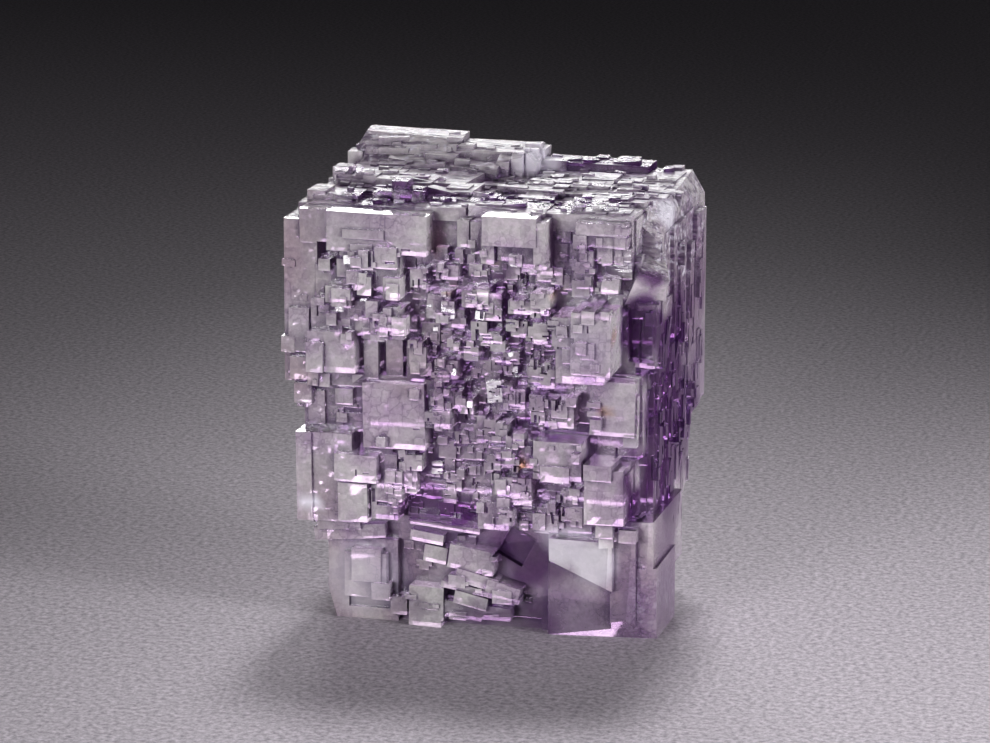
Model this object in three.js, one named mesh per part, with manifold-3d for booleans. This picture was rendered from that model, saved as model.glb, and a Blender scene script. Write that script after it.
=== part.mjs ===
// A fluorite specimen: one tall crystal group of intergrown cubes, broken off at its foot.
// Every cube shares the same three axes, so the whole group reads as one blocky crystal
// whose faces are mosaics of steps. Millimetres, +Z up, front face towards -Y.
// The origin lies on the flat broken foot, under the middle of the crystal.
import * as THREE from "three";
import { mergeVertices } from "three/addons/utils/BufferGeometryUtils.js";
import Module from "manifold-3d";

const wasm = await Module();
wasm.setup();

// Driving dimensions of the crystal group.
const FACE = { left: -14, right: 14, front: -10, back: 10, top: 32 };
// Blocks start this deep inside the crystal, so that each one is rooted in it.
const ROOT_DEPTH = 4.5;
// Neighbouring cubes are out of line with each other by up to this angle. The terraces of
// the top and the columns of the right side lean more, and so does one small cube in six.
const LEAN_DEG = 0.9;
const TOP_LEAN = 2.4;
const RIGHT_LEAN = 1.8;
const ODD_CUBE = { every: 6, lean: 8 };
// Corners lie on a grid this fine, and slivers thinner than the second value are closed up.
const GRID = 0.01;
const FINEST = 0.02;

// The same seed always grows the same crystal.
let seed = 20;
function random() {
  seed = (seed + 0x6d2b79f5) | 0;
  let t = Math.imul(seed ^ (seed >>> 15), 1 | seed);
  t = (t + Math.imul(t ^ (t >>> 7), 61 | t)) ^ t;
  return ((t ^ (t >>> 14)) >>> 0) / 4294967296;
}
const between = (low, high) => low + (high - low) * random();

// A closed shape as a solid that can be joined and cut.
function solidOf(geometry) {
  geometry.deleteAttribute("normal");
  geometry.deleteAttribute("uv");
  const merged = mergeVertices(geometry, 1e-4);
  return new wasm.Manifold(
    new wasm.Mesh({
      numProp: 3,
      vertProperties: merged.attributes.position.array,
      triVerts: new Uint32Array(merged.index.array),
    }),
  );
}

// A box between two corners, turned about its middle by small angles in degrees.
function box(low, high, turn = [0, 0, 0]) {
  const size = high.map((h, i) => h - low[i]);
  const middle = high.map((h, i) => (h + low[i]) / 2);
  const geometry = new THREE.BoxGeometry(...size);
  const angles = turn.map(THREE.MathUtils.degToRad);
  geometry.applyMatrix4(
    new THREE.Matrix4().makeRotationFromEuler(new THREE.Euler(...angles)),
  );
  geometry.translate(...middle);
  return solidOf(geometry);
}

// A slight turn about each axis; more is how many times the usual one it may be.
const leaning = (more = 1) =>
  [0, 0, 0].map(() => between(-LEAN_DEG, LEAN_DEG) * more);

// Each side of the crystal has two directions in its plane and one outwards.
const SIDES = {
  front: { at: FACE.front, u: 0, v: 2, out: 1, sign: -1 },
  back: { at: FACE.back, u: 0, v: 2, out: 1, sign: 1 },
  left: { at: FACE.left, u: 1, v: 2, out: 0, sign: -1 },
  right: { at: FACE.right, u: 1, v: 2, out: 0, sign: 1 },
  top: { at: FACE.top, u: 0, v: 1, out: 2, sign: 1 },
};

// A block on a side. u and v are its lowest corner in the plane of the side, w and h its
// size there, and out is how far its face stands proud of the side's own plane.
function block(sideName, [u, v, w, h, out], turn = leaning(), root = ROOT_DEPTH) {
  const side = SIDES[sideName];
  const low = [0, 0, 0];
  const high = [0, 0, 0];
  low[side.u] = u;
  high[side.u] = u + w;
  low[side.v] = v;
  high[side.v] = v + h;
  const ends = [side.at + side.sign * out, side.at - side.sign * root];
  low[side.out] = Math.min(...ends);
  high[side.out] = Math.max(...ends);
  return box(low, high, turn);
}

// The heart of the crystal: masses that narrow towards the broken foot.
const bodyMasses = [
  box([-12.6, -8.6, 7.5], [12.7, 7.6, 20]),
  box([-13.7, -8.5, 18.6], [12.3, 9.2, 31.9]),
];
const flankMasses = [
  box([7.0, -7.0, 8.6], [13.4, 5.4, 20]),
  box([7.0, -6.6, 18.0], [13.7, 8.9, 32.4]),
];
const footMasses = [
  box([-11.5, -8.8, -0.5], [11.9, 6.2, 9.5], [0, 1.5, 0]),
  box([6.0, -9.7, -0.5], [14.2, -2.6, 5.6], [0, 0, 0.4]),
  box([6.0, -9.5, 4.0], [14.0, 0.4, 9.2], [0, 0, -0.4]),
];

// The front face, read from the photograph: [left, bottom, width, height, proud].
const frontBlocks = [
  // upper left: a tall pillar beside one broad plate
  [-14.4, 18.5, 2.6, 12.5, 0.0],
  [-14.0, 20.8, 1.6, 3.4, 0.3],
  [-13.0, 29.3, 2.4, 2.6, 0.4],
  [-10.7, 28.9, 7.7, 3.0, 1.1],
  [-9.4, 30.0, 3.2, 0.7, 1.3],
  [-9.6, 26.0, 4.5, 3.2, 0.8],
  [-8.9, 28.0, 1.7, 1.5, 1.2],
  [-6.9, 27.8, 1.7, 1.6, 1.4],
  [-11.9, 25.2, 2.6, 2.4, 0.1],
  [-11.5, 27.2, 0.9, 0.9, 0.6],
  [-10.6, 25.0, 1.5, 1.4, 0.9],
  [-7.3, 22.9, 2.3, 1.8, 1.6],
  [-12.2, 22.4, 5.2, 2.6, 0.4],
  [-12.3, 19.6, 3.7, 3.1, 1.2],
  [-12.3, 19.6, 1.3, 2.3, 1.6],
  [-8.2, 19.0, 1.1, 3.3, 0.0],
  [-6.6, 19.1, 1.3, 2.9, -0.5],
  [-4.9, 19.0, 1.4, 2.7, -0.2],
  [-2.6, 19.5, 1.8, 1.4, 0.5],
  [-13.7, 18.3, 9.0, 1.0, -0.2],
  // upper middle: two narrow columns and a plate with a broken lower edge
  [-0.8, 29.6, 0.9, 2.0, 0.4],
  [0.3, 29.2, 0.9, 2.4, 0.6],
  [1.3, 30.0, 4.1, 2.2, 1.3],
  [5.2, 28.4, 0.9, 3.5, 1.2],
  [1.2, 28.6, 1.0, 2.6, 1.1],
  [2.3, 28.8, 1.1, 1.4, 0.7],
  [3.5, 28.4, 1.7, 1.7, 0.9],
  [6.3, 27.4, 1.5, 3.9, -1.0],
  // upper right: stepped bands over a hollow
  [8.2, 31.0, 3.8, 0.9, 0.5],
  [8.9, 30.1, 3.1, 0.8, 0.2],
  [8.0, 30.0, 1.0, 1.0, 0.6],
  [8.0, 26.8, 1.5, 3.0, 0.2],
  [9.4, 29.0, 2.8, 1.0, -0.2],
  [9.8, 26.7, 1.3, 0.9, 0.5],
  // middle right: the proudest cube, standing on a stepped plate
  [8.3, 20.9, 3.0, 4.7, 2.3],
  [6.8, 22.9, 2.2, 2.2, 2.0],
  [7.0, 20.1, 3.6, 2.8, 1.7],
  [9.0, 22.2, 1.1, 1.2, 2.6],
  // centre: cubes of a millimetre or two
  [-0.5, 25.1, 1.4, 1.3, 0.5],
  [1.0, 24.2, 1.6, 2.1, 0.7],
  [3.2, 24.9, 3.1, 1.0, 0.8],
  [4.9, 25.4, 1.5, 1.1, 1.0],
  [3.3, 23.0, 1.1, 1.5, 0.3],
  [4.6, 22.7, 1.9, 1.6, 0.4],
  [4.6, 19.4, 2.1, 1.7, 0.9],
  [-1.6, 23.4, 1.3, 1.4, 0.2],
  [-3.0, 24.2, 1.6, 1.8, 0.1],
  [-4.6, 26.2, 1.4, 1.4, 0.0],
  [-2.5, 27.0, 1.7, 1.1, 0.3],
  [0.9, 22.3, 1.6, 1.1, 0.4],
  [-1.0, 21.4, 1.9, 1.2, 0.2],
  [2.8, 17.6, 1.6, 1.5, 0.6],
  [-0.6, 16.9, 1.0, 1.2, 0.5],
  // middle left: the broad pale plate and the big corner cube under it
  [-8.1, 13.9, 4.8, 5.0, 0.8],
  [-8.1, 12.6, 2.2, 3.6, 0.4],
  [-3.1, 17.2, 2.6, 1.8, 0.3],
  [-3.0, 15.7, 1.7, 2.0, 0.6],
  [-13.1, 14.7, 4.9, 3.8, -0.5],
  [-12.7, 15.2, 1.3, 2.6, -0.2],
  [-13.3, 7.9, 4.3, 6.9, 0.7],
  [-13.3, 7.9, 1.2, 6.9, 1.0],
  [-10.2, 11.3, 3.3, 2.1, 1.4],
  [-10.0, 8.1, 2.3, 3.0, 1.1],
  [-7.5, 8.3, 2.1, 3.1, 0.6],
  [-6.8, 11.2, 1.3, 2.2, 0.5],
  [-5.4, 10.6, 1.2, 3.1, 0.3],
  // middle: a stair of three cubes that leads down to the right
  [0.4, 14.7, 0.9, 2.1, 0.3],
  [1.3, 14.4, 0.9, 2.2, 0.6],
  [2.2, 14.2, 0.9, 2.1, 0.9],
  [1.7, 13.0, 2.4, 2.3, 0.8],
  [3.1, 13.4, 0.9, 2.2, 1.1],
  [4.1, 13.1, 1.1, 2.1, 0.7],
  [5.2, 12.5, 3.7, 2.9, 1.3],
  [5.8, 12.4, 2.2, 1.2, 1.5],
  [5.2, 16.3, 2.9, 2.1, 0.4],
  [9.3, 15.9, 3.4, 4.1, 0.4],
  [9.5, 16.4, 0.8, 0.9, 1.1],
  [9.2, 18.1, 1.0, 0.4, 0.8],
  [9.2, 17.4, 1.0, 0.4, 0.9],
  [2.0, 10.2, 3.0, 2.1, 0.8],
  [0.9, 8.2, 2.4, 2.1, 0.9],
  [3.8, 8.4, 1.2, 1.2, 0.2],
  [5.3, 8.3, 1.6, 1.8, 0.5],
  [7.1, 8.2, 2.3, 3.2, 0.2],
  // lower right of the face: a stepped cube beside a deep slot
  [9.2, 9.4, 3.0, 4.2, 1.7],
  [9.2, 12.8, 2.2, 1.2, 2.1],
  [11.4, 10.0, 0.9, 3.2, 1.5],
  [10.0, 8.3, 1.3, 1.6, 1.3],
  [11.6, 7.8, 1.3, 1.0, 0.7],
];

// The foot's front: two blocks with plain faces and some steps.
const footBlocks = [
  [-11.3, 0.0, 5.5, 6.4, -0.5],
  [-9.8, 1.9, 3.3, 3.5, 0.2],
  [-9.2, 3.2, 2.3, 2.6, 0.4],
  [-7.6, 1.9, 1.4, 1.3, 0.5],
  [-6.2, 0.7, 1.3, 1.4, 0.1],
  [-4.7, 0.0, 2.7, 3.1, 0.3],
  [10.9, 0.0, 1.9, 8.2, 0.1],
  [10.2, 7.4, 1.0, 1.0, 1.2],
  [11.2, 7.9, 1.3, 0.8, 0.6],
];

// Slabs and a ledge at the foot of the front, tipped along the slanting cleavage:
// [left, bottom, width, height, proud, slope in degrees].
const cleavageSlabs = [
  [-12.3, 6.3, 5.6, 1.1, -0.2, -6],
  [-12.0, 7.1, 3.4, 0.9, 0.1, -3],
  [-3.6, 5.0, 1.8, 1.3, 0.0, 8],
  [-1.6, 4.6, 3.6, 1.8, 0.3, 8],
  [-1.0, 3.5, 3.3, 1.0, 0.5, 13],
  [1.4, 2.9, 2.6, 1.0, 0.6, 15],
  [-2.2, 2.8, 6.2, 0.5, 0.4, 9],
  [-1.1, 1.9, 2.6, 1.0, 0.6, 12],
  [-2.4, 0.7, 5.6, 1.3, 0.1, 4],
  [-4.9, 7.6, 5.6, 0.6, -0.3, 5],
  [-4.7, 6.5, 2.6, 0.8, -0.1, 7],
];

// The right side: tall narrow columns, [near edge, bottom, depth, height, proud].
const rightBlocks = [
  [-6.4, 24.9, 3.2, 5.4, -0.2],
  [-3.6, 22.0, 4.1, 8.4, 0.1],
  [-2.2, 24.2, 1.5, 4.8, 0.3],
  [0.2, 19.6, 4.2, 10.8, -0.1],
  [1.6, 21.8, 1.3, 6.4, 0.2],
  [4.0, 17.6, 3.2, 12.4, 0.1],
  [6.4, 14.6, 2.7, 13.4, -0.2],
  [-8.8, 14.0, 2.6, 6.2, -1.0],
  [-6.4, 12.6, 2.8, 8.4, -0.5],
  [-3.8, 14.2, 3.2, 7.2, -0.2],
  [-0.8, 13.2, 3.2, 6.6, -0.1],
  [2.2, 14.6, 3.6, 5.2, 0.1],
  [5.2, 15.4, 3.0, 4.8, -0.2],
  [-8.9, 9.4, 2.6, 4.4, -1.0],
  [-6.6, 8.4, 3.0, 5.2, -0.6],
  [-3.8, 8.9, 3.0, 4.6, -0.4],
  [-1.0, 9.6, 2.4, 4.2, -0.5],
  [1.2, 9.9, 2.2, 3.4, -0.7],
];

// The top: terraces that rise to the back, [left, near edge, width, depth, height].
const topBlocks = [
  [-12.7, -9.0, 12.2, 4.2, 0.1],
  [-13.3, -7.7, 1.4, 2.6, 0.7],
  [-12.3, -5.4, 11.2, 4.2, 0.4],
  [-12.6, -3.0, 10.2, 8.0, 0.7],
  [-8.4, -6.8, 3.2, 1.5, 0.6],
  [-0.5, -8.9, 6.4, 4.2, 0.2],
  [0.9, -5.4, 9.6, 4.2, 0.1],
  [1.0, -2.5, 9.8, 4.2, 0.4],
  [3.8, -0.9, 4.6, 3.2, 0.6],
  [2.0, 1.3, 10.4, 5.2, 0.4],
  [1.6, 6.2, 8.2, 2.9, 1.0],
  [7.0, 6.6, 1.7, 2.4, 1.2],
  [5.6, -9.1, 6.6, 3.3, 0.2],
  [7.4, -8.5, 4.4, 1.6, 0.4],
  [9.8, -2.0, 2.6, 9.4, 0.5],
  [10.8, -5.8, 1.7, 5.0, 0.2],
];

// The crest: a tall pale block at the back of the top, its neighbour, and three narrow
// columns at its right end. Their fronts lean back into the slope.
const crest = [
  box([-13.6, 4.6, 30], [-5.3, 9.3, 34.5], [2, 0.6, -1]),
  box([-13.0, 2.6, 29], [-5.8, 8.8, 33.6], [7, -0.4, 0.5]),
  box([-6.6, 4.9, 30], [0.9, 9.2, 33.9], [1, 0.4, 0.6]),
  box([-6.2, 3.0, 29], [-1.4, 8.8, 33.2], [5, 0, 1]),
  box([-1.7, 3.7, 30], [-0.7, 9.0, 33.7], [2, 4, 0]),
  box([-0.5, 4.0, 30], [0.4, 9.0, 33.9], [0, -2, 0]),
  box([0.4, 4.6, 30], [1.3, 9.1, 33.8], [0, 3, 0]),
];

// Cubes that grew askew, right of the proud cube.
const askew = [
  box([11.4, -9.0, 25.5], [13.9, -5.6, 28.6], [14, 24, 20]),
  box([12.5, -8.6, 20.8], [14.0, -4.6, 25.7], [0, 3, -3]),
  box([11.9, -9.2, 24.9], [13.2, -6.6, 26.2], [20, 10, 30]),
];

// The sides that the photograph doesn't show carry the same kind of mosaic.
const backBlocks = [
  [-13.2, 20.4, 6.0, 9.6, 0.2],
  [-7.4, 22.8, 7.6, 8.6, 0.7],
  [-2.2, 24.6, 6.4, 7.2, 0.1],
  [3.6, 21.8, 5.4, 8.9, 0.6],
  [8.6, 19.6, 4.6, 9.4, 0.0],
  [-11.6, 12.2, 5.6, 7.6, -1.0],
  [-6.4, 13.6, 6.0, 8.4, -0.3],
  [-0.8, 15.8, 5.4, 7.8, 0.4],
  [4.2, 11.8, 5.8, 9.2, -0.7],
  [-9.8, 8.2, 5.2, 5.6, -2.0],
  [-4.8, 7.4, 6.6, 6.4, -1.6],
  [1.4, 8.4, 5.8, 5.4, -2.2],
];
const leftBlocks = [
  [-9.4, 24.6, 5.2, 6.2, 0.1],
  [-4.4, 20.2, 5.0, 9.8, 0.5],
  [0.4, 22.4, 4.8, 7.6, 0.2],
  [4.8, 19.4, 4.6, 10.2, 0.4],
  [-8.4, 19.0, 4.2, 5.4, 0.2],
  [-9.6, 9.0, 4.8, 5.2, -0.5],
  [-5.0, 9.6, 5.2, 8.0, -0.9],
  [0.0, 11.2, 5.6, 7.4, -0.6],
  [-7.6, 1.2, 5.4, 6.4, -2.4],
  [-2.4, 2.6, 5.2, 6.2, -2.1],
];

// Small cubes that crowd a zone of a side. Each one stands a little proud of the level it
// grows on, which is the highest block already there: proud gives the least and the most.
const ZONES = [
  { side: "front", u: [-4.6, 7.0], v: [17.6, 28.6], count: 50, size: [0.7, 1.5] },
  { side: "front", u: [-6.6, 9.4], v: [9.4, 15.6], count: 32, size: [0.7, 1.4] },
  { side: "front", u: [-11.6, -4.6], v: [22.2, 29.0], count: 22, size: [0.7, 1.5] },
  { side: "front", u: [-13.4, -8.4], v: [14.8, 20.0], count: 8, size: [0.8, 1.6] },
  { side: "front", u: [6.6, 11.4], v: [15.6, 29.6], count: 16, size: [0.7, 1.3], proud: [0.1, 0.35] },
  { side: "front", u: [-3.0, 3.0], v: [2.0, 6.8], count: 5, size: [0.7, 1.3] },
  {
    side: "right",
    u: [-6.0, 6.6],
    v: [10.0, 29.0],
    count: 20,
    size: [0.7, 1.4],
    proud: [0.05, 0.3],
    tall: 2.4,
  },
  { side: "top", u: [-11.4, 11.6], v: [-7.4, 7.6], count: 24, size: [1.2, 3.4], proud: [0.1, 0.35] },
  { side: "back", u: [-7.5, 8.5], v: [10.5, 20.5], count: 26, size: [0.9, 2.1], proud: [0.1, 0.6] },
  { side: "back", u: [-9.5, 1.5], v: [24.0, 29.5], count: 10, size: [0.9, 1.8], proud: [0.1, 0.4] },
  { side: "left", u: [-6.5, 6.5], v: [11.0, 20.5], count: 18, size: [0.9, 2.0], proud: [0.1, 0.5] },
  { side: "left", u: [-5.5, 3.5], v: [23.0, 28.5], count: 8, size: [0.9, 1.7], proud: [0.1, 0.3] },
];

const hand = {
  front: [...frontBlocks, ...footBlocks],
  right: rightBlocks,
  top: topBlocks,
  back: backBlocks,
  left: leftBlocks,
};
const CORE_LEVEL = -1.4;

function levelAt(sideName, u, v) {
  const here = hand[sideName].filter(
    ([bu, bv, w, h]) => u > bu && u < bu + w && v > bv && v < bv + h,
  );
  return Math.max(CORE_LEVEL, ...here.map((b) => b[4]));
}

function smallCubes({ side, u, v, count, size, proud = [0.15, 0.75], tall = 1 }) {
  return Array.from({ length: count }, (_, index) => {
    const w = size[0] + (size[1] - size[0]) * random() ** 1.6;
    const h = w * between(0.75, 1.3) * tall;
    const cu = between(...u);
    const cv = between(...v);
    const out = levelAt(side, cu, cv) + between(...proud);
    const turn = leaning(index % ODD_CUBE.every === 0 ? ODD_CUBE.lean : 1);
    return block(side, [cu - w / 2, cv - h / 2, w, h, out], turn);
  });
}

// Deep slots and pits, where the dark violet heart shows: two corners each.
const hollows = [
  // the slot right of the proud cube, and the one below it
  box([11.6, -14, 21.2], [13.5, -7.2, 25.3], [0, 0, -3]),
  box([12.4, -14, 9.4], [13.5, -7.4, 13.8], [0, 0, -2]),
  // the long horizontal slot through the middle
  box([3.2, -14, 15.5], [9.3, -8.0, 16.3], [0, 1, 0]),
  box([8.9, -14, 12.0], [9.25, -8.4, 15.8]),
  // the recesses beside the upper plates
  box([-3.0, -14, 28.7], [-1.0, -8.3, 31.2]),
  box([6.2, -14, 26.9], [7.9, -8.7, 30.9], [0, 0, 2]),
  // the slanting gash above the foot
  box([-5.4, -14, 8.0], [0.8, -7.8, 9.6], [0, 4, 0]),
  box([2.2, -14, 5.2], [4.4, -8.2, 7.6], [0, 28, 0]),
  // small windows in the foot
  box([-9.7, -14, 0.9], [-6.4, -9.2, 1.8]),
  // the front edge of the foot is arched
  box([-2.2, -14, -1], [1.4, -8.8, 0.6], [0, -2, 0]),
  box([1.0, -14, -1], [5.4, -8.6, 0.85], [0, 0, 3]),
  box([-11.7, -14, 28.2], [-10.9, -8.8, 29.4]),
];

// Corners knocked off along a plane: a big box stands on a point of the plane, turned so
// that its foot lies in it, and takes away all that is beyond.
const BEYOND = 40;
function chip(point, direction) {
  const geometry = new THREE.BoxGeometry(BEYOND, BEYOND, BEYOND);
  geometry.translate(0, 0, BEYOND / 2);
  const up = new THREE.Vector3(0, 0, 1);
  const out = new THREE.Vector3(...direction).normalize();
  geometry.applyQuaternion(new THREE.Quaternion().setFromUnitVectors(up, out));
  geometry.translate(...point);
  return solidOf(geometry);
}
// The crest's left end and right end break off, and its front slopes down to the terraces.
const crestChips = [
  chip([-13.2, 6, 34.0], [-0.88, -0.1, 0.47]),
  chip([-9.5, 6.6, 34.4], [-0.06, -0.5, 0.86]),
  chip([-11.6, 4.4, 33.2], [-0.5, -0.62, 0.6]),
  chip([1.1, 6, 33.7], [0.72, -0.2, 0.66]),
];
const flankChips = [
  chip([13.4, 5, 31.6], [0.86, 0.05, 0.5]),
  chip([12.6, -6.6, 30.8], [0.6, -0.36, 0.72]),
];
// The foot's near corner, the break that undercuts its plain face, and the cleavage
// through the corners that face away. The foot itself is flat.
const footChips = [
  chip([12.9, -9.75, 2], [0.44, -0.9, -0.02]),
  chip([10.4, -9.9, 1.0], [0.1, -0.82, -0.56]),
  chip([-9.4, 4.6, 4.0], [-0.58, 0.58, -0.58]),
  chip([11.2, 5.0, 4.4], [0.58, 0.58, -0.58]),
  chip([0, 5.4, 2.4], [0.04, 0.84, -0.54]),
  chip([-11.2, -8.7, 0.8], [-0.9, -0.36, -0.26]),
  chip([0, 0, 0], [0, 0, -1]),
];

const join = (pieces) => pieces.reduce((a, b) => a.add(b));
const cut = (solid, tools) => tools.reduce((a, b) => a.subtract(b), solid);
const blocksOf = (side, list, lean = 1) =>
  list.map((one) => block(side, one, leaning(lean)));

// The plain pale face at the lower right ends below in a slanting break.
const paleFace = cut(block("front", [6.4, 2.6, 4.8, 5.2, 0.8], [0, 0, -1.5]), [
  chip([8.6, -10, 4.9], [-0.38, -0.26, -0.88]),
]);
const foot = cut(
  join([
    ...footMasses,
    paleFace,
    ...blocksOf("front", footBlocks),
    ...cleavageSlabs.map(([u, v, w, h, out, slope]) =>
      block("front", [u, v, w, h, out], [0, slope, 0]),
    ),
  ]),
  footChips,
);
const flank = cut(
  join([...flankMasses, ...blocksOf("right", rightBlocks, RIGHT_LEAN)]),
  flankChips,
);
const body = join([
  ...bodyMasses,
  ...askew,
  ...blocksOf("front", frontBlocks),
  ...blocksOf("top", topBlocks, TOP_LEAN),
  ...blocksOf("back", backBlocks),
  ...blocksOf("left", leftBlocks),
  ...ZONES.flatMap(smallCubes),
]);
const crystal = cut(join([body, foot, flank, cut(join(crest), crestChips)]), hollows);

// Brings each corner to the grid, and closes up the slivers between close corners.
function settled(solid) {
  const { vertProperties, triVerts } = solid.getMesh();
  const onGrid = vertProperties.map((x) => Math.round(x / GRID) * GRID);
  const rounded = new wasm.Mesh({
    numProp: 3,
    vertProperties: onGrid,
    triVerts,
  });
  return new wasm.Manifold(rounded).simplify(FINEST);
}

// Gaps that the cubes closed in all round are filled: only the outer skin is kept.
function outerSkin(solid) {
  const skins = solid.decompose();
  return skins.reduce((a, b) => (a.volume() > b.volume() ? a : b));
}

const mesh = outerSkin(settled(settled(crystal))).getMesh();
const geometry = new THREE.BufferGeometry();
geometry.setAttribute(
  "position",
  new THREE.BufferAttribute(mesh.vertProperties, 3),
);
geometry.setIndex(new THREE.BufferAttribute(mesh.triVerts, 1));

// The origin goes under the middle of the crystal.
geometry.computeBoundingBox();
const middle = geometry.boundingBox.getCenter(new THREE.Vector3());
geometry.translate(-middle.x, -middle.y, 0);

// Pale lavender fluorite with a glassy lustre.
const fluorite = new THREE.MeshStandardMaterial({
  color: 0xb9adc6,
  roughness: 0.08,
  metalness: 0,
});
const fluoriteCrystal = new THREE.Mesh(geometry, fluorite);
fluoriteCrystal.name = "fluorite_crystal";

const specimen = new THREE.Group();
specimen.add(fluoriteCrystal);
export default specimen;
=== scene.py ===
import math
import random

import bmesh
import bpy
import numpy
from mathutils import Euler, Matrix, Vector, noise
from mathutils.bvhtree import BVHTree


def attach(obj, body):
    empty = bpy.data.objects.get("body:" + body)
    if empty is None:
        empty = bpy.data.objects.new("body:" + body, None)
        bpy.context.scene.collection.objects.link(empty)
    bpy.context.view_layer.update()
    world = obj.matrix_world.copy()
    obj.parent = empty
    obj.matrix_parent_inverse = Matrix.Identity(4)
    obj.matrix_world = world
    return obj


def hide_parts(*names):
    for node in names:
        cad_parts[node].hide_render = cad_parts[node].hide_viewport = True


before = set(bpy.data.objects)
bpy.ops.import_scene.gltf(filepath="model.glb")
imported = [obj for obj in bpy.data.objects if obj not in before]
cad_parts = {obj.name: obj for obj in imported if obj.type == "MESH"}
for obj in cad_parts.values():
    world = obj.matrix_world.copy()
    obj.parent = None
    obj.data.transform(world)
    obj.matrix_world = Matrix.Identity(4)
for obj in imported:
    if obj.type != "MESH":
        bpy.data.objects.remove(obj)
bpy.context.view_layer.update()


# The camera stands a little to the right of the crystal and above it, about a third of a
# metre away, so that the stepped face, the violet side and the top terraces all show.
MM = 0.001
AZIMUTH = math.radians(15)
ELEVATION = math.radians(14)
CAMERA_DISTANCE = 310 * MM
WIDTH_SEEN = 76.2 * MM
TARGET = Vector((-0.74, 0.9, 17.6)) * MM
SENSOR = 36.0

away = Vector((
    math.sin(AZIMUTH) * math.cos(ELEVATION),
    -math.cos(AZIMUTH) * math.cos(ELEVATION),
    math.sin(ELEVATION),
))
camera = bpy.data.objects.new("camera", bpy.data.cameras.new("camera"))
camera.data.sensor_width = SENSOR
camera.data.lens = SENSOR * CAMERA_DISTANCE / WIDTH_SEEN
camera.data.clip_start = 10 * MM
camera.data.clip_end = 20
camera.location = TARGET + away * CAMERA_DISTANCE
camera.rotation_euler = away.to_track_quat("Z", "Y").to_euler()
bpy.context.scene.collection.objects.link(camera)
bpy.context.scene.camera = camera


# The crystal: one group of intergrown fluorite cubes, grown in a vein and broken off at
# its foot. The blocks down to 0.7 mm come from the solid; here the finest cubes grow on
# its faces and the finest gaps are left open between them.
growth = random.Random(7)
GRAIN_LEAN = math.radians(1.5)
ASKEW_LEAN = math.radians(9)
ASKEW_SHARE = 0.14
ASKEW_SHARE_TOP = 0.7
ROOT = 0.9 * MM

crystal = bpy.data.objects.new(
    "crystal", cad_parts["fluorite_crystal"].data.copy()
)
bpy.context.scene.collection.objects.link(crystal)


def closed_up(mesh):
    """Joins the corners that the file keeps apart, so that the skin is one closed one."""
    skin = bmesh.new()
    skin.from_mesh(mesh)
    bmesh.ops.remove_doubles(skin, verts=skin.verts, dist=0.002 * MM)
    bmesh.ops.recalc_face_normals(skin, faces=skin.faces)
    skin.to_mesh(mesh)
    tree = BVHTree.FromBMesh(skin)
    skin.free()
    return tree


solid_tree = closed_up(crystal.data)

# Each side: the two axes in its plane, the axis outwards and its sign.
SIDES = {
    "front": (0, 2, 1, -1),
    "back": (0, 2, 1, 1),
    "left": (1, 2, 0, -1),
    "right": (1, 2, 0, 1),
    "top": (0, 1, 2, 1),
}
OUTSIDE = 60 * MM


def level_at(side, u, v):
    """How far out the solid's surface lies at a place on a side, or None beside it."""
    a, b, out, sign = SIDES[side]
    start = Vector((0, 0, 0))
    start[a], start[b], start[out] = u, v, sign * OUTSIDE
    inwards = Vector((0, 0, 0))
    inwards[out] = -sign
    hit = solid_tree.ray_cast(start, inwards)[0]
    return None if hit is None else hit[out]


def grain(side, u, v, width, height, low, high):
    """One small box on a side, from low to high about the local surface, and its lean."""
    a, b, out, sign = SIDES[side]
    level = level_at(side, u, v)
    if level is None:
        return None
    centre = Vector((0, 0, 0))
    half = Vector((0, 0, 0))
    centre[a], centre[b] = u, v
    centre[out] = level + sign * (low + high) / 2
    half[a], half[b], half[out] = width / 2, height / 2, (high - low) / 2
    share = ASKEW_SHARE_TOP if side == "top" else ASKEW_SHARE
    most = ASKEW_LEAN if growth.random() < share else GRAIN_LEAN
    lean = Euler([growth.uniform(-most, most) for _ in range(3)]).to_matrix()
    reach = [sum(abs(lean[i][j]) * half[j] for j in range(3)) for i in range(3)]
    return centre, half, lean, reach


def apart(one, other):
    """True if two boxes leave a gap between them."""
    return any(
        abs(one[0][i] - other[0][i]) > one[3][i] + other[3][i] + 0.02 * MM
        for i in range(3)
    )


CORNERS = [(x, y, z) for x in (-1, 1) for y in (-1, 1) for z in (-1, 1)]
QUADS = ((0, 1, 3, 2), (4, 6, 7, 5), (0, 4, 5, 1), (2, 3, 7, 6), (0, 2, 6, 4), (1, 5, 7, 3))


def boxes_as_mesh(name, boxes):
    points, faces = [], []
    for centre, half, lean, _ in boxes:
        first = len(points)
        for corner in CORNERS:
            offset = Vector(c * h for c, h in zip(corner, half))
            points.append(centre + lean @ offset)
        faces += [[first + i for i in quad] for quad in QUADS]
    mesh = bpy.data.meshes.new(name)
    mesh.from_pydata(points, [], faces)
    return mesh


def work_in(target, boxes, operation):
    """Joins many small boxes to the crystal, or cuts them out, in layers that don't touch."""
    layers = []
    for box in boxes:
        for layer in layers:
            if all(apart(box, other) for other in layer):
                layer.append(box)
                break
        else:
            layers.append([box])
    helpers = []
    for number, layer in enumerate(layers):
        mesh = boxes_as_mesh(f"{operation}_{number}", layer)
        helper = bpy.data.objects.new(mesh.name, mesh)
        bpy.context.scene.collection.objects.link(helper)
        helpers.append(helper)
        modifier = target.modifiers.new(mesh.name, "BOOLEAN")
        modifier.operation = operation
        modifier.solver = "MANIFOLD"
        modifier.object = helper
    bpy.context.view_layer.update()
    seen = target.evaluated_get(bpy.context.evaluated_depsgraph_get())
    worked = bpy.data.meshes.new_from_object(seen)
    target.modifiers.clear()
    target.data = worked
    for helper in helpers:
        bpy.data.objects.remove(helper)


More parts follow.
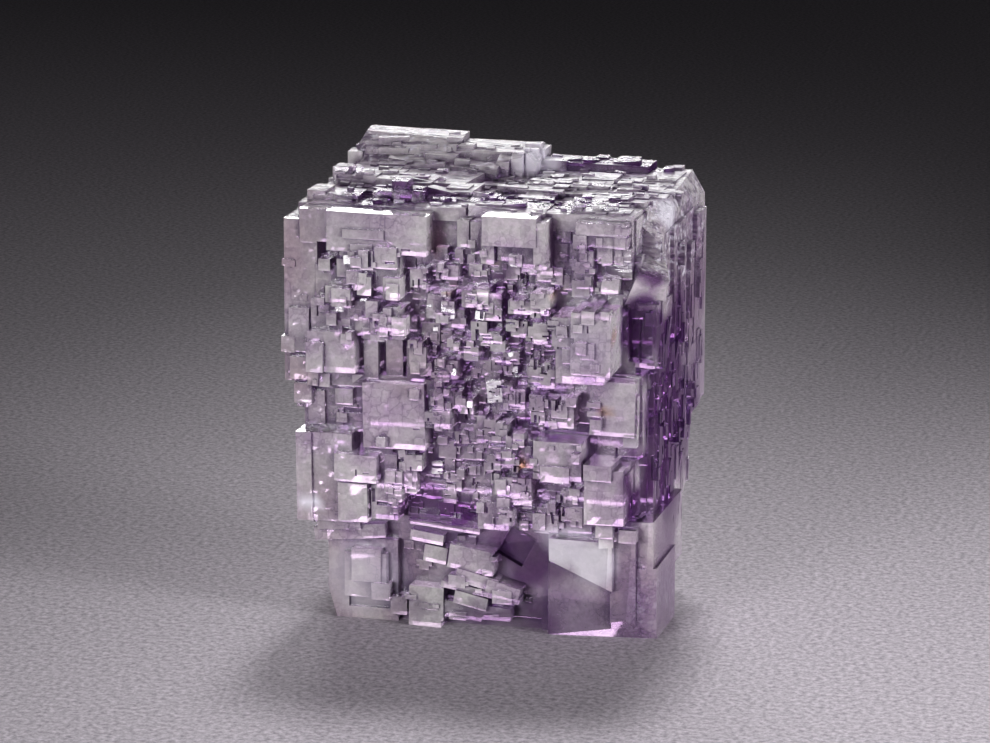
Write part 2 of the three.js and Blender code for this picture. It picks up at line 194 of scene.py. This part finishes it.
# Broad growth faces that stay nearly clean: side, range across and range up in mm.
PLATES = (
    ("front", (-11.8, -2.1), (29.0, 32.2)),
    ("front", (1.7, 6.0), (29.6, 32.8)),
    ("front", (7.0, 11.2), (20.6, 25.4)),
    ("front", (-8.2, -3.2), (13.6, 19.2)),
    ("front", (-13.2, -8.8), (7.4, 14.8)),
    ("front", (-11.8, -8.2), (19.4, 22.4)),
    ("front", (9.2, 13.0), (7.6, 20.0)),
    ("front", (5.4, 9.4), (12.4, 15.9)),
    ("front", (4.6, 14.2), (0.0, 7.9)),
    ("front", (-11.2, -5.2), (0.0, 7.0)),
    ("right", (-9.5, -4.0), (0.0, 9.5)),
)
PLATE_SHARE = 0.1


def seeded(rows, low_of, high_of):
    """The boxes of each row, thinned out on the clean faces."""
    boxes = []
    for side, across, up, count, widths, levels, stretch in rows:
        for _ in range(count):
            u = growth.uniform(*across)
            v = growth.uniform(*up)
            width = widths[0] + (widths[1] - widths[0]) * growth.random() ** 1.8
            height = width * growth.uniform(*stretch)
            level = growth.uniform(*levels)
            clean = any(
                side == plate and left < u < right and bottom < v < top
                for plate, (left, right), (bottom, top) in PLATES
            )
            if clean and growth.random() > PLATE_SHARE:
                continue
            boxes.append(grain(
                side, u * MM, v * MM, width * MM, height * MM,
                low_of(level) * MM, high_of(level) * MM,
            ))
    return [box for box in boxes if box]


# Where the small cubes crowd: side, range across, range up, how many, smallest and
# largest width in mm, how far they stand proud in mm, and height over width.
SQUARE = (0.7, 1.4)
CROWDS = (
    ("front", (-3.0, 7.5), (16, 29), 260, (0.35, 1.3), (0.05, 0.45), SQUARE),
    ("front", (-6.0, 9.5), (8, 16), 190, (0.35, 1.2), (0.05, 0.4), SQUARE),
    ("front", (-10.5, -3), (22, 29), 70, (0.35, 1.2), (0.03, 0.2), SQUARE),
    ("front", (-13.5, 12.5), (9, 31.5), 80, (0.3, 0.9), (0.04, 0.18), SQUARE),
    ("front", (6.5, 12.5), (24, 31), 36, (0.4, 1.4), (0.05, 0.25), SQUARE),
    ("front", (-5.5, 5.0), (1.0, 7.5), 26, (0.5, 1.8), (0.04, 0.2), (0.3, 0.8)),
    ("right", (-9, 8), (9, 27), 60, (0.3, 0.9), (0.03, 0.16), (2.0, 6)),
    ("right", (-8, 6), (11, 21), 50, (0.4, 1.1), (0.05, 0.3), SQUARE),
    ("top", (-12.5, 12.5), (-8.5, 9), 60, (0.9, 3.0), (0.04, 0.2), (0.25, 0.7)),
    ("top", (-12, 12.5), (-8.5, 9), 170, (0.4, 1.3), (0.06, 0.35), (0.35, 1.0)),
    ("back", (-12.5, 12.5), (7, 33), 150, (0.5, 2.2), (0.06, 0.35), SQUARE),
    ("left", (-9, 9.5), (6, 33), 130, (0.5, 2.0), (0.06, 0.3), SQUARE),
)
work_in(crystal, seeded(CROWDS, lambda proud: -ROOT / MM, lambda proud: proud), "UNION")

# Gaps: narrow places between cubes where nothing filled the step, 0.1 to 0.5 mm wide.
ABOVE = 0.5
GAPS = (
    ("front", (-3.5, 7.5), (9, 28.5), 80, (0.12, 0.3), (0.2, 0.7), (1.5, 5.0)),
    ("front", (-3.5, 7.5), (9, 28.5), 80, (0.5, 1.4), (0.2, 0.7), (0.12, 0.3)),
    ("front", (-12, 12), (8.5, 31), 60, (0.1, 0.3), (0.12, 0.35), (1.0, 6.0)),
    ("front", (-12, 12), (8.5, 31), 40, (0.5, 1.6), (0.12, 0.35), (0.1, 0.3)),
    ("right", (-8, 8), (4, 25), 34, (0.1, 0.3), (0.12, 0.4), (3.0, 9.0)),
    ("top", (-12, 12), (-8, 8), 36, (0.6, 2.4), (0.08, 0.3), (0.08, 0.3)),
    ("back", (-12, 12), (6, 31), 60, (0.15, 0.7), (0.2, 0.6), (0.4, 4.0)),
    ("left", (-8, 8), (5, 31), 50, (0.15, 0.7), (0.2, 0.5), (0.4, 4.0)),
)
solid_tree = closed_up(crystal.data)
work_in(crystal, seeded(GAPS, lambda deep: -deep, lambda deep: ABOVE), "DIFFERENCE")

# The faces are parted along a grid of planes, so that a number kept at their corners can
# change across a broad face.
CELL = 0.9 * MM


def in_cells(mesh):
    skin = bmesh.new()
    skin.from_mesh(mesh)
    bmesh.ops.remove_doubles(skin, verts=skin.verts, dist=0.002 * MM)
    for axis in range(3):
        places = [vertex.co[axis] for vertex in skin.verts]
        plane = min(places) + CELL * 0.37
        while plane < max(places):
            point = Vector((0, 0, 0))
            point[axis] = plane
            across = Vector((0, 0, 0))
            across[axis] = 1
            everything = skin.verts[:] + skin.edges[:] + skin.faces[:]
            bmesh.ops.bisect_plane(
                skin, geom=everything, dist=0.001 * MM, plane_co=point, plane_no=across
            )
            plane += CELL
    skin.to_mesh(mesh)
    skin.free()


def largest_body(skin):
    """The largest group of faces that join edge to edge, two at each edge."""
    left = set(skin.faces)
    largest = set()
    while left:
        rim = [left.pop()]
        body = set(rim)
        while rim:
            face = rim.pop()
            joined = [edge.link_faces for edge in face.edges if len(edge.link_faces) == 2]
            for neighbour in {near for pair in joined for near in pair} - body:
                body.add(neighbour)
                rim.append(neighbour)
        left -= body
        if len(body) > len(largest):
            largest = body
    return largest


def without_crumbs(mesh):
    """Takes away loose crumbs and doubled faces, and closes the pinholes that they leave."""
    skin = bmesh.new()
    skin.from_mesh(mesh)
    for _ in range(4):
        bmesh.ops.triangulate(skin, faces=skin.faces)
        bmesh.ops.remove_doubles(skin, verts=skin.verts, dist=0.002 * MM)
        bmesh.ops.dissolve_degenerate(skin, edges=skin.edges, dist=0.001 * MM)
        bmesh.ops.triangulate(skin, faces=skin.faces)
        body = largest_body(skin)
        crumbs = [face for face in skin.faces if face not in body]
        bmesh.ops.delete(skin, geom=crumbs, context="FACES")
        open_edges = [edge for edge in skin.edges if edge.is_boundary]
        bmesh.ops.holes_fill(skin, edges=open_edges, sides=0)
        bmesh.ops.triangulate(skin, faces=skin.faces)
    skin.to_mesh(mesh)
    skin.free()


in_cells(crystal.data)
without_crumbs(crystal.data)
skin_tree = closed_up(crystal.data)

# Light gets lost between neighbouring cubes, so each corner of a face keeps a number for
# how far its outlook is closed in: 0 in the open, 1 deep in a gap. The shader paints
# shade into the gaps from this number, and makes them clearer.
LOOKS = 12
LOOK_DISTANCE = 1.3 * MM
look_directions = []
for number in range(LOOKS):
    rise = 0.25 + 0.7 * (number + 0.5) / LOOKS
    turn = number * 2.4
    flat = math.sqrt(1 - rise * rise)
    look_directions.append(Vector((flat * math.cos(turn), flat * math.sin(turn), rise)))

closed_in = crystal.data.attributes.new("closed_in", "FLOAT", "CORNER")
INSET = 0.12
for face in crystal.data.polygons:
    turn_out = face.normal.to_track_quat("Z", "Y")
    looks = [turn_out @ look for look in look_directions]
    for corner in face.loop_indices:
        place = crystal.data.vertices[crystal.data.loops[corner].vertex_index].co
        start = place.lerp(face.center, INSET) + face.normal * 0.02 * MM
        met = sum(
            skin_tree.ray_cast(start, look, LOOK_DISTANCE)[0] is not None
            for look in looks
        )
        closed_in.data[corner].value = met / LOOKS


def linear(hex_colour):
    """An sRGB hex colour as the linear values that a shader takes."""
    parts = [int(hex_colour[i:i + 2], 16) / 255 for i in (1, 3, 5)]
    return (*[p / 12.92 if p <= 0.04045 else ((p + 0.055) / 1.055) ** 2.4 for p in parts], 1)


def add(tree, kind, settings=None, links=None, values=None):
    """One shader node, with its settings, its socket values and the links into it."""
    node = tree.nodes.new(kind)
    for name, value in (settings or {}).items():
        setattr(node, name, value)
    for socket, value in (values or {}).items():
        node.inputs[socket].default_value = value
    for socket, source in (links or {}).items():
        tree.links.new(source, node.inputs[socket])
    return node


# Fluorite: a clear halide mineral with a glassy lustre, refractive index 1.434. Growth
# faces are smooth but finely pitted, which veils them. Its violet is a zoning of the
# crystal: nearly colourless outside, deep violet in the heart and along some faces.
COLOURLESS = linear("#EDE8E8")
LAVENDER = linear("#C0A1C6")
VIOLET = linear("#703184")
# Painted shade for the gaps between cubes.
PAINTED_GAP_SHADE = linear("#4A2270")
ROSY = linear("#B08E9C")
SMOKY = linear("#8C7296")
IRON_STAIN = linear("#C08A3C")
SPLINTER_SHADE = linear("#4B2F62")
TILE_SHADE = linear("#907E98")
# Bluish white of the milky places, also used for painted highlights.
MILKY_AND_HIGHLIGHT_WHITE = linear("#ECE8F4")

fluorite = bpy.data.materials.new("fluorite_violet_zoned")
fluorite.use_nodes = True
tree = fluorite.node_tree
tree.nodes.clear()

place = add(tree, "ShaderNodeTexCoord")
in_mm = add(tree, "ShaderNodeVectorMath", {"operation": "SCALE"}, {0: place.outputs["Object"]},
            {"Scale": 1000.0})

# The zones keep clear of straight borders: their places wander by half a millimetre.
WANDER_SCALE = 0.35
WANDER_FAR = 1.6
crisp = [vertex.co / MM for vertex in crystal.data.vertices]
wandered = numpy.array([
    corner + noise.noise_vector(corner * WANDER_SCALE) * WANDER_FAR for corner in crisp
])
crisp = numpy.array(crisp)

# Violet zones: middle and half sizes in mm, and how strong the colour is.
VIOLET_ZONES = (
    ((14.2, -2.6, 16.0), (3.0, 4.6, 9.0), 1.0),
    ((14.2, 3.4, 13.5), (3.0, 3.0, 5.0), 0.7),
    ((12.9, -7.2, 23.2), (1.8, 3.2, 3.0), 1.0),
    ((13.0, -7.6, 11.6), (1.1, 2.4, 2.8), 1.0),
    ((-2.2, -7.2, 9.0), (5.0, 2.8, 1.7), 1.0),
    ((4.6, -7.6, 6.0), (3.0, 2.6, 2.2), 0.9),
    ((6.3, -7.2, 15.9), (3.6, 2.4, 1.1), 0.95),
    ((-6.8, -6.8, 32.8), (5.0, 2.6, 1.8), 1.0),
    ((5.0, -4.6, 32.8), (5.6, 2.6, 1.8), 1.0),
    ((6.8, 8.6, 33.4), (5.0, 2.6, 1.8), 1.0),
    ((13.6, -8.6, 28.0), (1.4, 1.8, 1.6), 0.9),
    ((2.4, -7.8, 25.0), (0.8, 2.4, 3.6), 0.9),
    ((2.0, -7.4, 17.0), (8.0, 3.6, 8.0), 0.22),
    ((1.0, -7.0, 0.8), (7.0, 3.4, 1.8), 0.6),
    ((0.0, 6.0, 20.0), (9.0, 3.4, 3.0), 0.9),
    ((-9.0, 5.0, 12.0), (6.0, 5.0, 2.0), 0.7),
)


def zones(name, places, list_of_zones, edge):
    """Keeps at each corner how far it lies in any of the egg-shaped zones, for the shader.

    The number goes from 0 outside to the zone's strength inside, and fades over its edge.
    """
    deepest = numpy.zeros(len(places))
    for middle, half, strength in list_of_zones:
        far = numpy.linalg.norm((places - numpy.array(middle)) / numpy.array(half), axis=1)
        share = numpy.clip((1 + edge - far) / (2 * edge), 0, 1)
        deepest = numpy.maximum(deepest, strength * share * share * (3 - 2 * share))
    kept = crystal.data.attributes.new(name, "FLOAT", "POINT")
    kept.data.foreach_set("value", deepest)
    return add(tree, "ShaderNodeAttribute", {"attribute_name": name}).outputs["Fac"]


violet = zones("violet", wandered, VIOLET_ZONES, 0.3)

# Patches of lavender a few millimetres wide.
patches = add(tree, "ShaderNodeTexNoise", {}, {"Vector": in_mm.outputs[0]},
              {"Scale": 0.22, "Detail": 3.0, "Roughness": 0.55})
patch_amount = add(tree, "ShaderNodeMapRange", {}, {"Value": patches.outputs["Fac"]},
                   {"From Min": 0.42, "From Max": 0.68, "To Min": 0.0, "To Max": 0.75})
pale = add(tree, "ShaderNodeMix", {"data_type": "RGBA"}, {0: patch_amount.outputs[0]},
           {6: COLOURLESS, 7: LAVENDER})

# A rosy brown cast at the left edge and at the foot.
ROSY_ZONES = (
    ((-14.0, -5.0, 19.0), (2.6, 6.0, 2.6), 0.7),
    ((-12.0, -5.0, 9.5), (2.4, 6.0, 4.5), 0.45),
    ((-9.0, -6.0, 2.5), (6.0, 5.0, 4.0), 0.5),
    ((12.5, -6.0, 4.0), (3.0, 5.0, 5.0), 0.65),
    ((14.0, 2.0, 25.0), (2.0, 9.0, 5.0), 0.5),
    ((-2.0, -8.0, 20.5), (3.0, 3.0, 3.0), 0.35),
    ((-14.0, -7.0, 28.5), (2.6, 5.0, 4.5), 0.6),
    ((-4.5, -8.0, 19.6), (4.0, 3.0, 1.6), 0.45),
)
rosy = zones("rosy", wandered, ROSY_ZONES, 0.45)
warmed = add(tree, "ShaderNodeMix", {"data_type": "RGBA"},
             {0: rosy, 6: pale.outputs[2]}, {7: ROSY})

# A smoky violet cast at the right of the foot and along the back edge of the right side.
SMOKY_ZONES = (
    ((12.5, -5.0, 2.0), (2.6, 6.5, 6.5), 0.9),
    ((7.6, -7.5, 1.6), (5.0, 4.5, 2.6), 0.85),
    ((-6.0, -6.5, 3.5), (1.4, 4.5, 3.0), 0.6),
    ((-6.8, -7.0, 28.4), (1.8, 3.0, 0.8), 0.4),
    ((8.0, -8.0, 29.0), (1.2, 3.0, 2.6), 0.7),
    ((14.5, 3.0, 20.0), (2.0, 8.0, 12.0), 0.6),
    ((0.0, -7.0, 17.0), (7.0, 4.0, 9.5), 0.2),
    ((-8.0, -9.5, 30.4), (5.0, 2.5, 2.4), 0.3),
    ((-11.6, -9.0, 12.4), (2.6, 3.0, 4.0), 0.15),
    ((11.0, -9.5, 15.6), (2.8, 3.0, 6.0), 0.3),
    ((9.2, -9.8, 23.0), (3.0, 3.0, 3.0), 0.15),
    ((-10.0, -9.0, 21.0), (3.0, 3.0, 2.0), 0.3),
)
smoky = zones("smoky", wandered, SMOKY_ZONES, 0.4)
smoked = add(tree, "ShaderNodeMix", {"data_type": "RGBA"},
             {0: smoky, 6: warmed.outputs[2]}, {7: SMOKY})
zoned = add(tree, "ShaderNodeMix", {"data_type": "RGBA"},
            {0: violet, 6: smoked.outputs[2]}, {7: VIOLET})

# Painted shade: the gaps between cubes, where little light reaches, are painted darker
# and more violet.
closed_node = add(tree, "ShaderNodeAttribute", {"attribute_name": "closed_in"})
gap_amount = add(tree, "ShaderNodeMapRange", {}, {"Value": closed_node.outputs["Fac"]},
                 {"From Min": 0.12, "From Max": 0.75, "To Min": 0.0, "To Max": 0.86})
gap_shade_painted = add(tree, "ShaderNodeMix", {"data_type": "RGBA"},
             {0: gap_amount.outputs[0], 6: zoned.outputs[2]}, {7: PAINTED_GAP_SHADE})

# Specks of iron stain, half a millimetre across, sit in a few corners of the steps.
STAINS = (
    ((4.2, -9.1, 13.3), (0.45, 1.2, 0.6), 0.95),
    ((10.9, -10.3, 23.6), (0.6, 0.8, 0.7), 0.8),
    ((6.6, -9.0, 26.4), (0.5, 1.2, 0.5), 0.6),
    ((-1.6, -9.0, 26.2), (0.5, 1.2, 0.5), 0.6),
    ((10.4, -9.0, 17.8), (0.5, 1.2, 0.4), 0.6),
    ((-2.7, -7.6, 29.6), (0.5, 1.8, 1.3), 0.3),
    ((1.7, -9.0, 28.3), (0.4, 1.2, 0.5), 0.5),
)
stain = zones("iron_stain", crisp, STAINS, 0.4)
stained = add(tree, "ShaderNodeMix", {"data_type": "RGBA"},
              {0: stain, 6: gap_shade_painted.outputs[2]}, {7: IRON_STAIN})

# The top and the crest are a broken face: splinters and tiny steps run along it from left
# to right, about 0.3 mm deep, some grey, some white and some deep violet. The violet zones
# lie between them, smoother and dark.
facing = add(tree, "ShaderNodeNewGeometry")
turned = add(tree, "ShaderNodeSeparateXYZ", {}, {0: facing.outputs["Normal"]})
height = add(tree, "ShaderNodeSeparateXYZ", {}, {0: in_mm.outputs[0]})
upwards = add(tree, "ShaderNodeMapRange", {"interpolation_type": "SMOOTHSTEP"},
              {"Value": turned.outputs["Z"]}, {"From Min": 0.2, "From Max": 0.6})
on_top = add(tree, "ShaderNodeMapRange", {"interpolation_type": "SMOOTHSTEP"},
             {"Value": height.outputs["Z"]}, {"From Min": 30.2, "From Max": 31.4})
inwards = add(tree, "ShaderNodeMapRange", {"interpolation_type": "SMOOTHSTEP"},
              {"Value": height.outputs["Y"]}, {"From Min": -9.1, "From Max": -8.5})
top_place = add(tree, "ShaderNodeMath", {"operation": "MULTIPLY"},
                {0: on_top.outputs[0], 1: inwards.outputs[0]})
broken_top = add(tree, "ShaderNodeMath", {"operation": "MULTIPLY"},
                 {0: upwards.outputs[0], 1: top_place.outputs[0]})
BROKEN_ZONES = (
    ((14.2, -1.0, 29.5), (2.2, 8.5, 4.5), 0.9),
    ((13.4, -7.5, 28.4), (1.8, 2.4, 1.2), 1.0),
    ((13.5, -4.0, 4.0), (2.4, 6.0, 5.0), 0.2),
    ((0.0, -8.0, 1.0), (6.0, 3.0, 2.0), 0.2),
)
broken_sides = zones("broken", wandered, BROKEN_ZONES, 0.4)
broken_all = add(tree, "ShaderNodeMath", {"operation": "MAXIMUM"},
                 {0: broken_top.outputs[0], 1: broken_sides})
less_violet = add(tree, "ShaderNodeMapRange", {}, {"Value": violet},
                  {"To Min": 1.0, "To Max": 0.55})
broken = add(tree, "ShaderNodeMath", {"operation": "MULTIPLY"},
             {0: broken_all.outputs[0], 1: less_violet.outputs[0]})
along = add(tree, "ShaderNodeVectorMath", {"operation": "MULTIPLY"}, {0: in_mm.outputs[0]},
            {1: (0.5, 1.9, 1.9)})
splinters = add(tree, "ShaderNodeTexNoise", {}, {"Vector": along.outputs[0]},
                {"Scale": 1.0, "Detail": 2.0, "Roughness": 0.75})
violet_splinter = add(tree, "ShaderNodeMapRange", {}, {"Value": splinters.outputs["Fac"]},
                      {"From Min": 0.47, "From Max": 0.58, "To Min": 0.0, "To Max": 0.8})
splinter_amount = add(tree, "ShaderNodeMath", {"operation": "MULTIPLY"},
                      {0: violet_splinter.outputs[0], 1: broken.outputs[0]})
splintered = add(tree, "ShaderNodeMix", {"data_type": "RGBA"},
                 {0: splinter_amount.outputs[0], 6: stained.outputs[2]}, {7: SPLINTER_SHADE})

# A mosaic of etched tiles, about 0.8 mm wide, covers the growth faces: each has a tone of
# its own, and thin violet outlines part them in patches.
flecks = add(tree, "ShaderNodeTexNoise", {}, {"Vector": in_mm.outputs[0]},
             {"Scale": 1.5, "Detail": 2.0, "Roughness": 0.75})
bent = add(tree, "ShaderNodeVectorMath", {"operation": "MULTIPLY_ADD"},
           {0: flecks.outputs["Fac"], 2: in_mm.outputs[0]}, {1: (0.5, -0.4, 0.6)})
tile = add(tree, "ShaderNodeTexVoronoi", {"distance": "CHEBYCHEV", "feature": "F1"},
           {"Vector": bent.outputs[0]}, {"Scale": 1.25})
next_tile = add(tree, "ShaderNodeTexVoronoi", {"distance": "CHEBYCHEV", "feature": "F2"},
                {"Vector": bent.outputs[0]}, {"Scale": 1.25})
from_edge = add(tree, "ShaderNodeMath", {"operation": "SUBTRACT"},
                {0: next_tile.outputs["Distance"], 1: tile.outputs["Distance"]})
outline = add(tree, "ShaderNodeMapRange", {}, {"Value": from_edge.outputs[0]},
              {"From Min": 0.02, "From Max": 0.1, "To Min": 0.36, "To Max": 0.0})
in_patch = add(tree, "ShaderNodeMapRange", {}, {"Value": patches.outputs["Fac"]},
               {"From Min": 0.45, "From Max": 0.6})
outlined = add(tree, "ShaderNodeMath", {"operation": "MULTIPLY"},
               {0: outline.outputs[0], 1: in_patch.outputs[0]})
tile_tone = add(tree, "ShaderNodeSeparateColor", {}, {0: tile.outputs["Color"]})
tile_shade = add(tree, "ShaderNodeMath", {"operation": "MULTIPLY"},
                 {0: tile_tone.outputs[0]}, {1: 0.3})
toned = add(tree, "ShaderNodeMix", {"data_type": "RGBA"},
            {0: tile_shade.outputs[0], 6: splintered.outputs[2]}, {7: TILE_SHADE})
mosaic = add(tree, "ShaderNodeMix", {"data_type": "RGBA"},
             {0: outlined.outputs[0], 6: toned.outputs[2]}, {7: SPLINTER_SHADE})

# Milky places, where tiny bubbles in the mineral send the light back, look bluish white.
# Some of these zones are painted highlights instead: the white glint on the lower left
# cube, the shine high on the right side and the bright window on the crest.
MILKY_AND_HIGHLIGHT_ZONES = (
    ((7.4, -9.4, 7.2), (2.6, 2.6, 1.5), 0.6),
    ((9.8, -9.4, 6.0), (1.6, 2.6, 1.9), 0.6),
    ((9.2, -9.8, 23.0), (2.4, 2.4, 2.6), 0.2),
    # Painted highlight: the white glint on the lower left cube.
    ((-12.4, -8.8, 9.4), (1.1, 1.8, 0.5), 1.0),
    ((-8.6, -7.6, 3.4), (3.2, 3.2, 3.0), 0.4),
    # Painted reflection: the bright window on the crest.
    ((1.2, 6.0, 33.2), (1.6, 3.6, 1.2), 0.7),
    # Painted highlight: the shine high on the right side.
    ((13.6, -2.4, 31.4), (1.4, 1.6, 1.2), 0.9),
)
milk_and_highlights = zones("milky_and_highlights", crisp, MILKY_AND_HIGHLIGHT_ZONES, 0.3)
fleck_share = add(tree, "ShaderNodeMapRange", {}, {"Value": flecks.outputs["Fac"]},
                  {"From Min": 0.53, "From Max": 0.64, "To Min": 0.0, "To Max": 0.85})
plain_colour = add(tree, "ShaderNodeMath", {"operation": "SUBTRACT"}, {1: violet}, {0: 1.0})
fleck_place = add(tree, "ShaderNodeMath", {"operation": "MULTIPLY"},
                  {0: plain_colour.outputs[0], 1: broken.outputs[0]})
fleck_amount = add(tree, "ShaderNodeMath", {"operation": "MULTIPLY"},
                   {0: fleck_share.outputs[0], 1: fleck_place.outputs[0]})
milky_and_highlights = add(tree, "ShaderNodeMath", {"operation": "MAXIMUM"},
            {0: milk_and_highlights, 1: fleck_amount.outputs[0]}).outputs[0]
milked_and_highlighted = add(tree, "ShaderNodeMix", {"data_type": "RGBA"},
             {0: milky_and_highlights, 6: mosaic.outputs[2]}, {7: MILKY_AND_HIGHLIGHT_WHITE})

# Fine pitting, about 0.15 mm across, veils the faces and breaks up their shine.
pitting = add(tree, "ShaderNodeTexNoise", {}, {"Vector": in_mm.outputs[0]},
              {"Scale": 3.2, "Detail": 2.0, "Roughness": 0.7})
rough = add(tree, "ShaderNodeMapRange", {}, {"Value": pitting.outputs["Fac"]},
            {"From Min": 0.35, "From Max": 0.7, "To Min": 0.05, "To Max": 0.22})
clear = add(tree, "ShaderNodeMapRange", {}, {"Value": pitting.outputs["Fac"]},
            {"From Min": 0.3, "From Max": 0.7, "To Min": 0.62, "To Max": 0.5})
relief = add(tree, "ShaderNodeBump", {}, {"Height": pitting.outputs["Fac"]},
             {"Strength": 0.1, "Distance": 0.05 * MM})
splinter_relief = add(tree, "ShaderNodeBump", {},
                      {"Height": splinters.outputs["Fac"], "Strength": broken.outputs[0],
                       "Normal": relief.outputs[0]},
                      {"Distance": 0.5 * MM})
rough_all = add(tree, "ShaderNodeMix", {"data_type": "FLOAT"},
                {0: broken.outputs[0], 2: rough.outputs[0]}, {3: 0.38})

# The veil lies on open faces; the gaps and the violet zones are nearly as clear as glass.
unveiled = add(tree, "ShaderNodeMath", {"operation": "MAXIMUM"},
               {0: gap_amount.outputs[0], 1: violet})
see_through = add(tree, "ShaderNodeMix", {"data_type": "FLOAT"},
                  {0: unveiled.outputs[0], 2: clear.outputs[0]}, {3: 0.82})
clouded = add(tree, "ShaderNodeMix", {"data_type": "FLOAT"},
              {0: milky_and_highlights, 2: see_through.outputs[0]}, {3: 0.3})

glassy = add(tree, "ShaderNodeBsdfPrincipled", {},
             {"Base Color": milked_and_highlighted.outputs[2], "Roughness": rough_all.outputs[0],
              "Transmission Weight": clouded.outputs[0],
              "Normal": splinter_relief.outputs[0]},
             {"IOR": 1.434, "Metallic": 0.0})
absorbed = add(tree, "ShaderNodeVolumeAbsorption", {}, {},
               {"Color": linear("#DDBFE0"), "Density": 70.0})
add(tree, "ShaderNodeOutputMaterial", {},
    {"Surface": glassy.outputs[0], "Volume": absorbed.outputs[0]})

crystal.data.materials.clear()
crystal.data.materials.append(fluorite)
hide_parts("fluorite_crystal")
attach(crystal, "root")


# The floor is a plain pale sheet of matt paper, laid flat and running far back. Its fibres
# give it a fine grain, about 0.3 mm across.
FLOOR_SIZE = 3.0
PAPER_GRAIN_SCALE = 1 / (0.45 * MM)
bpy.ops.mesh.primitive_grid_add(x_subdivisions=4, y_subdivisions=4, size=FLOOR_SIZE)
floor = bpy.context.object
floor.name = "floor"
paper = bpy.data.materials.new("paper_matt_pale_grey")
paper.use_nodes = True
paper_tree = paper.node_tree
paper_shader = paper_tree.nodes["Principled BSDF"]
paper_shader.inputs["Roughness"].default_value = 0.8
on_paper = add(paper_tree, "ShaderNodeTexCoord")
fibres = add(paper_tree, "ShaderNodeTexNoise", {}, {"Vector": on_paper.outputs["Object"]},
             {"Scale": PAPER_GRAIN_SCALE, "Detail": 2.0, "Roughness": 0.7})
fibre_amount = add(paper_tree, "ShaderNodeMapRange", {}, {"Value": fibres.outputs["Fac"]},
                   {"From Min": 0.3, "From Max": 0.7})
paper_colour = add(paper_tree, "ShaderNodeMix", {"data_type": "RGBA"},
                   {0: fibre_amount.outputs[0]},
                   {6: linear("#8D868F"), 7: linear("#D1C8D2")})
paper_relief = add(paper_tree, "ShaderNodeBump", {}, {"Height": fibres.outputs["Fac"]},
                   {"Strength": 0.3, "Distance": 0.05 * MM})
paper_tree.links.new(paper_colour.outputs[2], paper_shader.inputs["Base Color"])
paper_tree.links.new(paper_relief.outputs[0], paper_shader.inputs["Normal"])
floor.data.materials.append(paper)


# The studio: a soft lamp with a narrow beam stands high behind and throws the shadow
# forwards, a low one in front brings out the faces, and a weak one fills the right side.
# Of the weak ones low behind, one puts the glints on the ledges, one glows through the
# crystal and one lights its back.
# Name, place in metres, width and height in metres, watts, spread in degrees and what it
# aims at.
LAMPS = (
    ("lamp_key", (-0.026, 0.28, 0.485), (0.12, 0.12), 0.132, 34, (0.088, -0.102, 0.0)),
    ("lamp_front", (-0.09, -0.30, 0.045), (0.12, 0.12), 0.143, 70, (0.0, 0.0, 0.02)),
    ("lamp_glow", (-0.117, 0.43, 0.16), (0.36, 0.2), 0.036, 26, (0.0, 0.0, 0.02)),
    ("lamp_behind", (-0.117, 0.43, 0.152), (0.14, 0.05), 0.008, 22, (0.0, 0.0, 0.02)),
    ("lamp_right", (0.35, -0.08, 0.05), (0.14, 0.14), 0.165, 50, (0.0, 0.0, 0.02)),
    ("lamp_back", (-0.06, 0.16, 0.06), (0.06, 0.06), 0.007, 36, (0.0, 0.0, 0.02)),
)
for name, position, size, power, spread, aim in LAMPS:
    lamp = bpy.data.objects.new(name, bpy.data.lights.new(name, "AREA"))
    lamp.data.shape = "ELLIPSE"
    lamp.data.size, lamp.data.size_y = size
    lamp.data.energy = power
    lamp.data.spread = math.radians(spread)
    lamp.location = position
    lamp.rotation_euler = (Vector(position) - Vector(aim)).to_track_quat("Z", "Y").to_euler()
    lamp.visible_camera = False
    lamp.visible_transmission = name in ("lamp_key", "lamp_front", "lamp_glow")
    lamp.visible_glossy = name not in ("lamp_glow", "lamp_back")
    lamp.visible_diffuse = name not in ("lamp_behind", "lamp_glow")
    bpy.context.scene.collection.objects.link(lamp)

world = bpy.data.worlds.new("studio_air")
world.use_nodes = True
world.node_tree.nodes["Background"].inputs["Color"].default_value = linear("#2A2A2D")
world.node_tree.nodes["Background"].inputs["Strength"].default_value = 0.3
bpy.context.scene.world = world
bpy.context.scene.view_settings.view_transform = "Standard"
